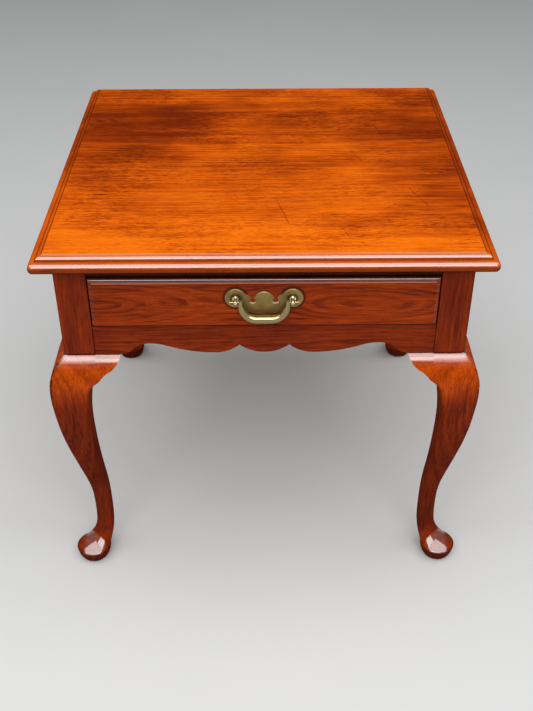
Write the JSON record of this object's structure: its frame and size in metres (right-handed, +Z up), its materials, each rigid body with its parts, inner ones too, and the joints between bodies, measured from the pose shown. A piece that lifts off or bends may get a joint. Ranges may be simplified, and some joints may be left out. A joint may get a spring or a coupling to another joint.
{
  "type": "one-drawer side table",
  "caption": "Square occasional table with moulded top, cabriole legs on pad feet, scalloped aprons and an inset drawer with a swinging brass bail pull.",
  "frame": {"origin": "on the floor, under the middle of the top", "axes": "+Z up, +X to the right seen from the front, drawer opens towards -Y"},
  "size_m": [0.61, 0.61, 0.565],
  "materials": {
    "top_wood": "gloss lacquer",
    "leg_wood": "gloss lacquer",
    "apron_wood": "gloss lacquer",
    "drawer_front_wood": "gloss lacquer",
    "inner_wood": "bare",
    "panel_wood": "sealed",
    "aged_brass": "aged",
    "bright_brass": "handled",
    "steel": "zinc plated"
  },
  "bodies": {
    "case": {"table_top": "top_wood", "front_top_rail": "apron_wood", "top_screws": "steel", "guide_screws": "steel", "leg_front_left": "leg_wood", "leg_front_right": "leg_wood", "leg_back_left": "leg_wood", "leg_back_right": "leg_wood", "knee_block_front_left": "leg_wood", "knee_block_front_right": "leg_wood", "knee_block_back_left": "leg_wood", "knee_block_back_right": "leg_wood", "knee_block_left_front": "leg_wood", "knee_block_left_back": "leg_wood", "knee_block_right_front": "leg_wood", "knee_block_right_back": "leg_wood", "front_apron": "apron_wood", "apron_left": "apron_wood", "apron_right": "apron_wood", "apron_back": "apron_wood", "back_cleat": "inner_wood", "kicker_left": "inner_wood", "drawer_runner_left": "inner_wood", "drawer_guide_left": "inner_wood", "drawer_stop_left": "inner_wood", "kicker_right": "inner_wood", "drawer_runner_right": "inner_wood", "drawer_guide_right": "inner_wood", "drawer_stop_right": "inner_wood"},
    "drawer": {"drawer_front": "drawer_front_wood", "drawer_side_left": "inner_wood", "drawer_side_right": "inner_wood", "drawer_back": "inner_wood", "drawer_bottom": "panel_wood", "bottom_brads": "steel", "pull_backplate": "aged_brass", "pull_post_left": "bright_brass", "pull_post_right": "bright_brass", "pull_nuts": "steel"},
    "bail": {"pull_bail": "bright_brass"}
  },
  "joints": [
    {"name": "drawer_slide", "type": "slide", "parent": "case", "child": "drawer", "axis": [0, -1, 0], "range_m": [0, 0.38]},
    {"name": "bail_hinge", "type": "hinge", "parent": "drawer", "child": "bail", "pos_m": [0, -0.2955, 0.495], "axis": [-1, 0, 0], "range_deg": [-5, 160]}
  ]
}
